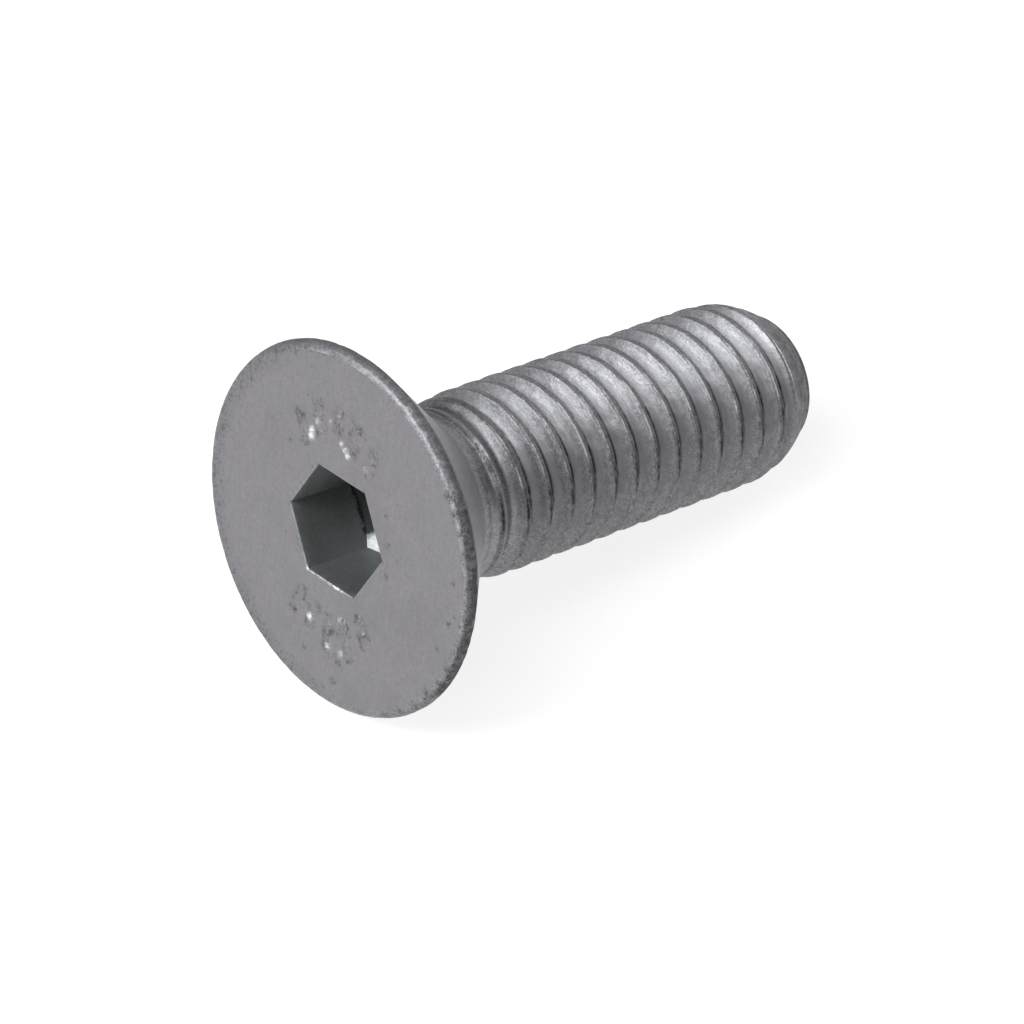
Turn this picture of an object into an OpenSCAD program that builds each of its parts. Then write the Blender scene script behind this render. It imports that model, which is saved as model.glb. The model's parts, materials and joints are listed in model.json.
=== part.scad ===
// Flat-head machine screw with a hexagon socket, M10 by 1.5, 30 mm long over all.
// It is modelled along its own axis, with the face of the head at zero, and then laid down as such a
// screw lies on a table: on the rim of its head and on the last full crest of its thread.

/* [Length] */
// Length over all, from the face of the head to the end of the thread
screw_length = 30; // [20:1:60]

/* [Head] */
// Diameter of the head at its rim
head_d = 19.7; // [17:0.1:22]
// Included angle of the countersink under the head
countersink_angle = 90; // [80:1:100]
// Radius that rounds the edge of the face
face_round = 0.5; // [0.2:0.05:0.8]
// Radius that rounds the edge between the rim and the countersink
rim_round = 0.2; // [0.1:0.05:0.4]
// Height of the neck below the head above the blank that the thread is rolled on
neck_step = 0.035; // [0.02:0.005:0.2]
// Radius of the hollow fillet between the countersink and the neck
neck_fillet = 1; // [0.5:0.1:1.5]

/* [Hexagon socket] */
// Width of the socket across its flats
socket_af = 6; // [4:0.1:7]
// Depth of the socket at its corners
socket_depth = 4; // [3:0.1:4.5]
// Included angle of the cone at the bottom of the socket
socket_cone_angle = 118; // [100:1:140]
// Turn of the socket about the axis, from the side that the screw lies on
socket_turn = 27; // [0:1:60]

/* [Thread] */
// Diameter over the crests of the thread
crest_d = 9.8; // [9.6:0.05:10]
// Depth of the thread, from its crests to its roots
thread_depth = 0.82; // [0.7:0.01:0.92]
// Height of the crests above the blank that the thread is rolled on
crest_rise = 0.385; // [0.3:0.005:0.5]
// Rise of the thread in one turn
pitch = 1.5; // [1.25:0.05:1.75]
// Included angle between the flanks of the thread
flank_angle = 60; // [50:1:62]
// Width of the flat on the crest
crest_flat = 0.3; // [0.2:0.05:0.35]
// Length over which the thread grows out of the blank below the head
run_out = 3.2; // [2:0.1:5]
// Turn of the thread about the axis, as a part of one turn
thread_turn = 0.01; // [0:0.01:1]

/* [Tip] */
// Length of the taper that the thread fades out on
taper_length = 3.2; // [2:0.1:5]
// Diameter of the taper where it meets the bevel at the end
taper_d = 7.25; // [6:0.05:8]
// How round the taper is, from a straight cone at 1 to a full curve at 2
taper_curve = 1.6; // [1:0.1:2]
// Height and depth of the small bevel round the end
tip_bevel = 0.3; // [0.1:0.05:0.5]

/* [Hidden] */
finish_colour = [0.56, 0.55, 0.57];
$fn = 96;

// Straight faces that stand for one turn of the thread
steps = 60;
// Least height of a face where the thread meets a flat ring
ring_gap = 0.05;
// Overlap of a cut with the open air
cut_over = 1;
// Room between the corners of the socket and the side of the drill that cuts its bottom
drill_spare = 0.5;

head_r = head_d / 2;
crest_r = crest_d / 2;
root_r = crest_r - thread_depth;
blank_r = crest_r - crest_rise;
neck_r = blank_r + neck_step;
taper_r = taper_d / 2;

// Countersink: a straight line that touches the lower round of the rim and the fillet of the neck
cone_lean = countersink_angle / 2;
rim_cone_r = head_r - rim_round * (1 - cos(cone_lean));
rim_cone_z = face_round + rim_round * sin(cone_lean);
fillet_r = neck_r + neck_fillet;
cone_low_r = fillet_r - neck_fillet * cos(cone_lean);
cone_low_z = rim_cone_z + (rim_cone_r - cone_low_r) / tan(cone_lean);
fillet_z = cone_low_z + neck_fillet * sin(cone_lean);

// Places on one turn of the thread, measured along the axis from the middle of its crest
flank_run = thread_depth * tan(flank_angle / 2);
crest_half = crest_flat / 2;
foot = crest_half + flank_run;
corners = [[-foot, root_r], [-crest_half, crest_r], [crest_half, crest_r], [foot, root_r]];
last_corner = len(corners) - 1;

// The thread starts inside the neck, so that its first turn there is a plain round bar
first_crest = pitch * (floor((fillet_z + foot) / pitch - 1 - thread_turn) + thread_turn);
bevel_z = screw_length - tip_bevel;
columns = floor((bevel_z - ring_gap - foot - first_crest) / pitch * steps);
start_z = first_crest - foot - ring_gap;

// Tilt at which the screw rests on its rim and on the crest that touches down first
round_r = head_r - face_round;
function touch_tilt(r, z) =
    atan2(round_r - r, z - face_round) + asin(face_round / norm([round_r - r, z - face_round]));
lie_tilt = min([
    for (column = [0 : steps : columns], corner = [1, 2])
        touch_tilt(point_r(column, corner), point_z(column, corner))
]);

// Box round the screw as it lies, which gives the place of its origin
low_x = face_round * (cos(lie_tilt) - 1) - round_r * sin(lie_tilt);
high_x = max(
    screw_length * cos(lie_tilt) + (taper_r - tip_bevel) * sin(lie_tilt),
    bevel_z * cos(lie_tilt) + taper_r * sin(lie_tilt)
);
low_z = -round_r * cos(lie_tilt) - face_round * (sin(lie_tilt) + 1);

// Smooth rise from 0 to 1 while a value goes from one limit to the other
function ease(value, from, to) =
    let (t = max(0, min(1, (value - from) / (to - from))))
    t * t * (3 - 2 * t);

// Height of a corner of the thread above the face of the head
function point_z(column, corner) = first_crest + pitch * column / steps + corners[corner][0];

// Radius of the taper at the tip, or of the crests where the taper has not begun
function taper_radius(z) =
    let (share = max(0, z - screw_length + taper_length) / (taper_length - tip_bevel))
    crest_r - (crest_r - taper_r) * pow(share, taper_curve);

// Radius of a corner: it leaves the blank by degrees below the head and is held under the taper
function point_r(column, corner) =
    let (z = point_z(column, corner))
    min(blank_r + (corners[corner][1] - blank_r) * ease(z, fillet_z, fillet_z + run_out), taper_radius(z));

function polar(r, column, z) = [r * cos(360 * column / steps), r * sin(360 * column / steps), z];

// Number of a corner in the list of points, after the ring at the start
function id(column, corner) = steps + column * len(corners) + corner;

// Two triangles between one column of points and the next
function strip(low_a, low_b, high_a, high_b) = [[low_a, high_b, low_b], [low_a, high_a, high_b]];

module threaded_shank() {
    first_ring = [for (k = [0 : steps - 1]) polar(blank_r, k, start_z)];
    winding = [
        for (column = [0 : columns], corner = [0 : last_corner])
            polar(point_r(column, corner), column, point_z(column, corner))
    ];
    taper_ring = [for (k = [0 : steps - 1]) polar(taper_r, columns + k, bevel_z)];
    end_ring = [for (k = [0 : steps - 1]) polar(taper_r - tip_bevel, columns + k, screw_length)];

    taper_id = steps + len(winding);
    end_id = taper_id + steps;
    last_turn = columns - steps;

    // Flanks and crests of every turn, then the root between one turn and the next
    turns = [
        for (column = [0 : columns - 1], corner = [0 : last_corner - 1])
            each strip(id(column, corner), id(column + 1, corner),
                       id(column, corner + 1), id(column + 1, corner + 1))
    ];
    roots = [
        for (column = [0 : last_turn - 1])
            each strip(id(column, last_corner), id(column + 1, last_corner),
                       id(column + steps, 0), id(column + steps + 1, 0))
    ];

    // Band from the flat ring at the start up to the first turn, which climbs away from it
    start_band = [for (k = [0 : steps - 2]) each strip(k, k + 1, id(k, 0), id(k + 1, 0))];
    start_edge = concat([steps - 1, 0], [for (corner = [0 : last_corner]) id(0, corner)], [id(steps, 0)]);
    start_fan = [
        for (k = [0 : len(start_edge) - 2]) [id(steps - 1, 0), start_edge[k + 1], start_edge[k]]
    ];

    // Band from the last turn to the ring at the bevel
    end_band = [
        for (k = [1 : steps - 1])
            each strip(id(last_turn + k, last_corner), id(last_turn + k + 1, last_corner),
                       taper_id + k, taper_id + (k + 1) % steps)
    ];
    end_edge = concat([id(last_turn, last_corner)],
                      [for (corner = [0 : last_corner]) id(columns, corner)],
                      [taper_id, taper_id + 1]);
    end_fan = [
        for (k = [0 : len(end_edge) - 2]) [id(last_turn + 1, last_corner), end_edge[k], end_edge[k + 1]]
    ];

    bevel = [
        for (k = [0 : steps - 1])
            each strip(taper_id + k, taper_id + (k + 1) % steps, end_id + k, end_id + (k + 1) % steps)
    ];
    start_cap = [[for (k = [0 : steps - 1]) k]];
    end_cap = [[for (k = [steps - 1 : -1 : 0]) end_id + k]];

    polyhedron(
        points = concat(first_ring, winding, taper_ring, end_ring),
        faces = concat(start_cap, start_band, start_fan, turns, roots, end_band, end_fan, bevel, end_cap),
        convexity = 10
    );
}

module head_section() {
    difference() {
        union() {
            polygon([
                [0, 0],
                [round_r, 0],
                [head_r, face_round],
                [rim_cone_r, rim_cone_z],
                [cone_low_r, cone_low_z],
                [fillet_r, fillet_z],
                [0, fillet_z]
            ]);
            translate([round_r, face_round])
                circle(face_round);
            translate([head_r - rim_round, face_round])
                circle(rim_round);
        }
        translate([fillet_r, fillet_z])
            circle(neck_fillet);
    }
}

module head() {
    rotate_extrude()
        head_section();
}

// The six walls run down until they meet the cone of a drill that is wider than the socket
module hexagon_socket() {
    corner_r = socket_af / 2 / cos(30);
    drill_r = corner_r + drill_spare;
    drill_lean = socket_cone_angle / 2;
    shoulder_z = socket_depth - drill_spare / tan(drill_lean);
    bottom_z = socket_depth + corner_r / tan(drill_lean);
    intersection() {
        rotate([0, 0, socket_turn])
            translate([0, 0, -cut_over])
                cylinder(h = bottom_z + 2 * cut_over, r = corner_r, $fn = 6);
        rotate_extrude()
            polygon([[0, -2 * cut_over], [drill_r, -2 * cut_over], [drill_r, shoulder_z], [0, bottom_z]]);
    }
}

module lay_down() {
    translate([-(low_x + high_x) / 2, 0, -low_z])
        rotate([0, 90 + lie_tilt, 0])
            children();
}

module screw() {
    color(finish_colour)
        lay_down()
            difference() {
                union() {
                    head();
                    threaded_shank();
                }
                hexagon_socket();
            }
}

screw();
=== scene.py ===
"""A countersunk screw with a hexagon socket, lying on a pale floor in a soft studio light.

The screw is modelled in millimetres along its own axis, from the face of its head at zero to the end of
its thread, and is then laid down where the frame's mounts say that its head and its axis are.
"""

import json
import logging
import math
from contextlib import contextmanager
from dataclasses import dataclass, field
from enum import Enum
from typing import Iterator, Sequence

import bmesh
import bpy
import numpy as np
from mathutils import Matrix, Vector, noise


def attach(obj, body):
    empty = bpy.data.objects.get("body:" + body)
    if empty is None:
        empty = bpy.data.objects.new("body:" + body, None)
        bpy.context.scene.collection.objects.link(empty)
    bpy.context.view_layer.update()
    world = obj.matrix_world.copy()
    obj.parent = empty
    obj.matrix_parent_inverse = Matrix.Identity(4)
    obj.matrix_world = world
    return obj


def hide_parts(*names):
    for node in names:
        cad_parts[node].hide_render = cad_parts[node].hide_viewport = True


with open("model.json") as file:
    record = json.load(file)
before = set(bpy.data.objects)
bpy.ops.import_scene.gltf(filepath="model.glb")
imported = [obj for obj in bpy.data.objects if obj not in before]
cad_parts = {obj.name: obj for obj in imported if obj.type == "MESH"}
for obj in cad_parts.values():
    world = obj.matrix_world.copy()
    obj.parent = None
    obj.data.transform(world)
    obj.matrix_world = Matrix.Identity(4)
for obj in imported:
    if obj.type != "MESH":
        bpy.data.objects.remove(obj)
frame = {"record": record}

log = logging.getLogger("screw")
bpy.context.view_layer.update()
NODE = "screw"
PIECE = "screw_body"
BODY = "root"
AXIS_MOUNT = "hexagon_socket"
METRES = 0.001
WELD = 1e-4
NEAR = 1e-3
# Notes on each vertex: wear with painted highlights, dirt with painted shade, battering, stains, and painted
# light in the thread's valleys.
NOTES = ("rubbed", "sheltered", "battered", "stained", "thick")

Array = np.ndarray
Piece = bpy.types.Object
Tree = bpy.types.NodeTree
Node = bpy.types.Node
Wire = bpy.types.NodeSocket
Colour = tuple[float, float, float]
Outline = list[tuple[float, float]]


class Region(Enum):
    """The finishes of the screw, in the order of its material slots."""

    COATING = 0
    SOCKET = 1
    SHEARED_END = 2
    FACE = 3


def start_fresh() -> None:
    """Goes to object mode and leaves nothing selected, because an operator acts on all that is."""
    if bpy.context.object is not None and bpy.context.object.mode != "OBJECT":
        bpy.ops.object.mode_set(mode="OBJECT")
    bpy.ops.object.select_all(action="DESELECT")


def take_up(piece: Piece) -> None:
    """Makes one piece the only selected one and the active one."""
    start_fresh()
    piece.select_set(True)
    bpy.context.view_layer.objects.active = piece


@contextmanager
def editing(piece: Piece) -> Iterator[None]:
    """Edits one piece, with all of it selected at first, and goes back to object mode."""
    take_up(piece)
    bpy.ops.object.mode_set(mode="EDIT")
    bpy.ops.mesh.select_all(action="SELECT")
    yield
    bpy.ops.object.mode_set(mode="OBJECT")


def ease(value: Array, start: float, end: float) -> Array:
    """Rises smoothly from 0 to 1 while a value goes from start to end."""
    share = np.clip((value - start) / (end - start), 0.0, 1.0)
    return share * share * (3.0 - 2.0 * share)


def bell(value: Array, middle: float, width: float) -> Array:
    """A smooth bump of height 1 round a middle value."""
    return np.exp(-(((value - middle) / width) ** 2))


def soft_least(first: Array, second: Array, blend: float) -> Array:
    """The lesser of two values, with the corner between them rounded."""
    return 0.5 * (first + second - np.sqrt((first - second) ** 2 + blend**2))


def soft_most(first: Array, second: Array, blend: float) -> Array:
    """The greater of two values, with the corner between them rounded."""
    return 0.5 * (first + second + np.sqrt((first - second) ** 2 + blend**2))


def sector(turn: Array, middle: float, full: float, gone: float) -> Array:
    """How far directions lie in a sector about the axis, in degrees.

    Args:
        turn: The directions.
        middle: Direction of the sector's middle.
        full: Angle from its middle up to which it is full.
        gone: Angle from its middle at which it has faded.

    Returns:
        The shares, from 0 to 1.
    """
    return 1 - ease(np.abs((turn - middle + 180) % 360 - 180), full, gone)


def lumps(spots: Array, density: float) -> Array:
    """Soft random lumps, from about -1 to 1, with so many to a millimetre."""
    return np.array([noise.noise(Vector(spot) * density) for spot in spots.tolist()])


def arc(middle: tuple[float, float], radius: float, start: float, end: float, parts: int) -> Outline:
    """Points along an arc of an outline.

    Args:
        middle: Radius and height of the arc's centre.
        radius: Radius of the arc.
        start: First angle in degrees, from outwards towards the tip.
        end: Last angle in degrees.
        parts: Straight parts that stand for the arc.

    Returns:
        The points, both ends with them.
    """
    angles = np.radians(np.linspace(start, end, parts + 1))
    return [(middle[0] + radius * math.cos(a), middle[1] + radius * math.sin(a)) for a in angles]


def trace_outline(name: str, outline: Outline) -> Piece:
    """Draws half a section by extruding one vertex from point to point.

    Args:
        name: Name of the new piece.
        outline: Radius and height of each point, in millimetres.

    Returns:
        A piece that holds only the outline's edges.
    """
    start_fresh()
    bpy.ops.mesh.primitive_plane_add(size=1, location=(0, 0, 0))
    piece = bpy.context.object
    piece.name = name
    with editing(piece):
        bpy.ops.mesh.merge(type="CENTER")
        bpy.ops.transform.translate(value=(outline[0][0], 0, outline[0][1]))
        for before, after in zip(outline, outline[1:]):
            step = (after[0] - before[0], 0, after[1] - before[1])
            bpy.ops.mesh.extrude_vertices_move(TRANSFORM_OT_translate={"value": step})
    return piece


def read_spots(piece: Piece) -> Array:
    """Places of a mesh's vertices, one row each."""
    spots = np.empty(len(piece.data.vertices) * 3)
    piece.data.vertices.foreach_get("co", spots)
    return spots.reshape(-1, 3)


def write_spots(piece: Piece, spots: Array) -> None:
    """Moves a mesh's vertices to new places."""
    piece.data.vertices.foreach_set("co", spots.ravel())
    piece.data.update()


class Surface:
    """The vertices of a mesh round the screw's axis, and the wear, dirt, painted light and painted shade that
    are noted on them.

    Their directions are in degrees from the side that the screw lies on. Wear goes from 0 for none to 1
    or more for full.
    """

    def __init__(self, spots: Array) -> None:
        """Measures the vertices, of which each has a row, and starts their notes."""
        x, y, self.z = spots.T
        self.spots = spots
        self.radius = np.hypot(x, y)
        self.turn = np.degrees(np.arctan2(y, x))
        self.notes = {name: np.zeros_like(x) for name in NOTES}

    def note(self, where: Array, **values: Array) -> None:
        """Notes new values of wear on the vertices where a test holds."""
        for name, value in values.items():
            self.notes[name] = np.where(where, value, self.notes[name])


def weld(piece: Piece) -> None:
    """Merges the vertices that lie in one place."""
    with editing(piece):
        bpy.ops.mesh.remove_doubles(threshold=WELD)


def pick_open_edges(piece: Piece, height: float) -> int:
    """Selects the open edges of a piece in edit mode that lie at one height.

    Args:
        piece: The piece, which is in edit mode.
        height: Height of the edges.

    Returns:
        How many edges were selected.
    """
    bpy.ops.mesh.select_all(action="DESELECT")
    mesh = bmesh.from_edit_mesh(piece.data)
    level = [edge for edge in mesh.edges if all(abs(end.co.z - height) < NEAR for end in edge.verts)]
    picked = [edge for edge in level if len(edge.link_faces) < 2]
    for edge in picked:
        edge.select_set(True)
    bmesh.update_edit_mesh(piece.data)
    return len(picked)


def draw_rings(rings: Sequence[tuple[float, float]], start: tuple[float, float]) -> None:
    """Extrudes the selected ring of edges through a row of larger or smaller rings.

    Args:
        rings: Radius and height of each new ring.
        start: Radius and height of the ring that is selected.
    """
    radius, height = start
    for next_radius, next_height in rings:
        share = next_radius / radius
        bpy.ops.mesh.extrude_region_move()
        bpy.ops.transform.resize(value=(share, share, 1), center_override=(0, 0, height))
        bpy.ops.transform.translate(value=(0, 0, next_height - height))
        radius, height = next_radius, next_height


@dataclass
class ThreadedShank:
    """The rolled thread, from the neck to the rounded end.

    The thread grows out of the blank below the head, where its crest is still two lips with a seam
    between them, and fades on the taper at the end. Those forms follow the turn of the thread, so they
    are set vertex by vertex after the winding.
    """

    length: float = 30.0
    crest_r: float = 4.9
    thread_depth: float = 0.82
    blank_r: float = 4.515
    pitch: float = 1.5
    flank_lean: float = 30.0
    crest_flat: float = 0.3
    crest_curve: float = 0.03
    crest_blend: float = 0.05
    root_blend: float = 0.2
    thread_turn: float = 0.01
    run_out: float = 3.2
    taper_length: float = 3.2
    taper_r: float = 3.625
    taper_curve: float = 1.6
    tip_bevel: float = 0.3
    taper_blend: float = 0.1
    fade_start: float = 27.5
    fade_end: float = 28.6
    neck_r: float = 4.55
    neck_z: float = 6.297
    neck_gap: float = 0.01
    neck_fade: float = 0.5
    lip_rise: float = 0.03
    lip_apart: float = 0.28
    lip_width: float = 0.13
    seam_depth: float = 0.02
    seam_width: float = 0.07
    seam_growth: float = 0.4
    seam_fade: float = 1.0
    seam_end: float = 9.6
    dent_depth: float = 0.05
    crest_wander: float = 0.035
    wander_density: float = 1.3
    end_flats: int = 5
    end_flat_width: float = 0.5
    steps: int = 144
    half_points: tuple[float, ...] = (
        0.06, 0.11, 0.145, 0.18, 0.22, 0.28, 0.35, 0.43, 0.51, 0.59, 0.67, 0.75,
    )

    @property
    def end_z(self) -> float:
        """Height of the ring that the end is drawn from."""
        return self.length - self.tip_bevel

    @property
    def neck_ring_r(self) -> float:
        """Radius of the ring where the thread meets the neck."""
        return self.neck_r - self.neck_gap

    def grown(self, z: Array) -> Array:
        """How far the thread has grown out of the blank at a height."""
        return ease(z, self.neck_z, self.neck_z + self.run_out)

    def seam_left(self, z: Array) -> Array:
        """How much of the seam is left at a height."""
        return 1 - ease(z, self.neck_z + self.seam_fade, self.seam_end)

    def across(self, spots: Array) -> Array:
        """Distance of each vertex along the axis from the middle of the nearest crest."""
        turn = np.arctan2(spots[:, 1], spots[:, 0]) / math.tau
        share = spots[:, 2] / self.pitch - turn - self.thread_turn
        return ((share + 0.5) % 1.0 - 0.5) * self.pitch

    def taper_at(self, z: Array) -> Array:
        """Radius of the round taper at a height, and more than the crests' before it begins."""
        share = (z - self.length + self.taper_length) / (self.taper_length - self.tip_bevel)
        curve = np.where(share > 0, np.abs(share) ** self.taper_curve, share)
        return self.crest_r - (self.crest_r - self.taper_r) * curve

    def rise_at(self, across: Array) -> Array:
        """Height of the rolled thread over its root, with its crest and its root rounded."""
        flank_run = self.thread_depth * math.tan(math.radians(self.flank_lean))
        distance = np.sqrt(across**2 + self.crest_curve**2) - self.crest_curve
        rise = (self.crest_flat / 2 + flank_run - distance) * self.thread_depth / flank_run
        rise = soft_most(rise, np.zeros_like(rise), self.root_blend)
        return soft_least(rise, np.full_like(rise, self.thread_depth), self.crest_blend)

    def radius_at(self, across: Array, z: Array) -> Array:
        """Radius of the finished thread.

        Args:
            across: Distance along the axis from the middle of the nearest crest.
            z: Height above the face of the head.

        Returns:
            The radius at each place.
        """
        share = self.rise_at(across) / self.rise_at(np.zeros(1))
        full_r = self.crest_r - self.thread_depth * (1 - share)
        below_step = 1 - ease(z, self.neck_z, self.neck_z + self.neck_fade)
        neck_step = (self.neck_ring_r - self.blank_r) * below_step
        radius = self.blank_r + (full_r - self.blank_r) * self.grown(z) + neck_step
        seam = ease(z, self.neck_z, self.neck_z + self.seam_growth) * self.seam_left(z)
        lips = self.lip_rise * bell(np.abs(across), self.lip_apart, self.lip_width)
        groove = self.seam_depth * bell(across, 0.0, self.seam_width)
        radius = radius + seam * (lips - groove)
        taper = self.taper_at(z)
        radius = soft_least(radius, taper, self.taper_blend)
        return radius + (taper - radius) * ease(z, self.fade_start, self.fade_end)

    def battered(self, across: Array, z: Array) -> Array:
        """How battered the thread is: most on the crests and the end, least on the low flanks."""
        crests = (1 - ease(np.abs(across + 0.04), 0.1, 0.28)) * np.maximum(self.grown(z), 0.7)
        end = 0.6 * ease(z, self.fade_start - 0.4, self.fade_end - 0.2)
        start = 0.4 * bell(z, self.neck_z + 1.7, 0.8)
        return np.max([crests, end, start], axis=0)

    def wind(self) -> Piece:
        """Winds one pitch of the thread up the axis and shapes it.

        Returns:
            A tube of thread with an open ring at each end.
        """
        start = self.pitch * (math.floor(self.neck_z / self.pitch) - 1.5 + self.thread_turn)
        points = [-point for point in self.half_points[::-1]] + [0.0, *self.half_points]
        outline = [(self.crest_r, start + self.pitch / 2 + point) for point in points]
        piece = trace_outline(PIECE, outline)
        take_up(piece)
        winding = piece.modifiers.new("winding", "SCREW")
        winding.axis = "Z"
        winding.angle = math.tau
        winding.screw_offset = self.pitch
        winding.iterations = math.ceil((self.end_z - start) / self.pitch) + 1
        winding.steps = self.steps
        winding.render_steps = self.steps
        bpy.ops.object.modifier_apply(modifier=winding.name)
        weld(piece)
        self.shape(piece)
        weld(piece)
        return piece

    def shape(self, piece: Piece) -> None:
        """Gives the plain winding its thread, and flattens both its ends to rings."""
        spots = read_spots(piece)
        turn = np.arctan2(spots[:, 1], spots[:, 0])
        across = self.across(spots)
        z = np.clip(spots[:, 2], self.neck_z, self.end_z)
        radius = self.radius_at(across + self.crest_wander * lumps(spots, self.wander_density), z)
        dents = np.maximum(0.6 * lumps(spots, 1.7) + 0.6 * lumps(spots, 3.9) + 0.1, 0)
        radius = radius - self.dent_depth * self.battered(across, z) * dents
        radius = np.where(spots[:, 2] <= self.neck_z, self.neck_ring_r, radius)
        radius = np.where(spots[:, 2] >= self.end_z, self.taper_r, radius)
        write_spots(piece, np.column_stack([radius * np.cos(turn), radius * np.sin(turn), z]))

    def close_end(self, piece: Piece) -> None:
        """Rounds the edge of the end and closes it with a flat face."""
        flat_r = self.taper_r - self.tip_bevel
        edge = arc((flat_r, self.end_z), self.tip_bevel, 0, 90, 6)[1:]
        flat = [(flat_r - self.end_flat_width * k, self.length) for k in range(1, self.end_flats + 1)]
        with editing(piece):
            pick_open_edges(piece, self.end_z)
            draw_rings(edge + flat, (self.taper_r, self.end_z))
            bpy.ops.mesh.edge_face_add()
            bpy.ops.mesh.poke()

    def wear(self, at: Surface) -> None:
        """Notes the wear of the thread.

        Its crests are worn bright on one side, partly as painted highlight, and the first lip of the thread
        carries a painted highlight there. The bottoms of its grooves hold dirt and painted shade, most on one
        side; painted shade lies on upper flanks, low crests and the far edges of the crests; the seam and the
        end are darkened; and low flanks on the shaded side are painted lighter.

        Args:
            at: The surface to note it on.
        """
        across = self.across(at.spots)
        apart = np.abs(across)
        grown = self.grown(at.z)
        kept = 1 - ease(at.z, self.fade_start, self.fade_end - 0.3)
        # The side of the thread that lies in shade, where painted shade and painted light are laid.
        deep_side = bell(at.turn, -128, 32)
        # On this side the crests are worn bright and carry a painted highlight, and the first lip of the
        # thread carries a painted highlight.
        handled = 0.06 + 0.94 * sector(at.turn, -140, 10, 26)

        seam = 0.5 * bell(apart, 0.0, 0.08) * self.seam_left(at.z)
        crest = 4.0 * bell(across, -0.08, 0.045) * np.maximum(grown, 0.5) * handled
        ridge = 1.5 * bell(at.z, self.neck_z + 0.75, 0.22) * handled
        rubbed = np.maximum(crest * (1 - seam), ridge)

        # Dirt with painted shade at the bottoms of the grooves, stronger on one side; painted shade on the
        # upper flanks of the shaded side, on the flanks behind the crests and on the low crests; and a
        # painted dark line of shade behind the crests.
        open_flank = ease(self.taper_at(at.z), self.crest_r - self.thread_depth, self.crest_r - 0.2)
        root_side = 0.35 + 0.65 * bell(at.turn, -118, 28)
        roots = 1.3 * root_side * ease(apart, 0.59, 0.67) * open_flank * np.maximum(grown, 0.3)
        film = 0.3 * deep_side * bell(apart, 0.27, 0.1) * grown
        far_flank = 0.22 * bell(at.turn, -156, 20) * bell(across, 0.33, 0.2) * grown
        low_crest = 0.45 * sector(at.turn, -85, 28, 42) * (1 - ease(apart, 0.1, 0.28))
        dark_line = 1.5 * bell(at.turn, -103, 17) * bell(across, 0.08, 0.1)
        # Together these darken as dirt and painted shade; the end is darker.
        dirt = np.max([roots, seam, film, far_flank, low_crest, dark_line], axis=0) * kept
        end = 0.6 * ease(at.z, self.fade_start, self.fade_end)

        # Painted light: the low flanks on the shaded side of the thread get a lighter coat.
        thick = deep_side * ease(apart, 0.34, 0.52) * (1 - ease(apart, 0.6, 0.68)) * grown
        at.note(
            (at.z > self.neck_z - NEAR) & (at.radius < self.crest_r + NEAR),
            rubbed=rubbed * kept,
            sheltered=np.maximum(dirt, end),
            battered=self.battered(across, at.z),
            thick=thick * kept,
        )


@dataclass(frozen=True)
class Patch:
    """A small round patch on the head.

    Attributes:
        turn: Angle about the axis in degrees, from the side that the screw lies on.
        middle: Distance of the patch from the axis.
        size: Distance over which it fades.
        strength: How strong it is in its middle.
    """

    turn: float
    middle: float
    size: float
    strength: float = 1.0

    def share(self, spots: Array) -> Array:
        """How far each vertex lies in the patch."""
        angle = math.radians(self.turn)
        ahead = spots[:, 0] - self.middle * math.cos(angle)
        aside = spots[:, 1] - self.middle * math.sin(angle)
        return self.strength * bell(np.hypot(ahead, aside), 0.0, self.size)


@dataclass(frozen=True)
class RaisedMark:
    """A short raised stroke on the face, along a radius.

    Attributes:
        turn: Angle about the axis in degrees, from the side that the screw lies on.
        middle: Distance of its middle from the axis.
        reach: Half its length.
        rise: Its height above the face.
    """

    turn: float
    middle: float
    reach: float
    rise: float = 0.09

    def gap(self, spots: Array) -> Array:
        """Distance of each vertex from the line in the middle of the stroke."""
        angle = math.radians(self.turn)
        along = spots[:, 0] * math.cos(angle) + spots[:, 1] * math.sin(angle) - self.middle
        side = spots[:, 1] * math.cos(angle) - spots[:, 0] * math.sin(angle)
        return np.hypot(np.maximum(np.abs(along) - self.reach, 0), side)

    def height(self, spots: Array, half_width: float) -> Array:
        """Height of the stroke over each vertex.

        Args:
            spots: Places of the vertices.
            half_width: Half the width of the stroke.

        Returns:
            The heights, with a soft shoulder round the stroke.
        """
        return self.rise * (1 - ease(self.gap(spots), half_width * 0.4, half_width * 1.5))


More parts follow.
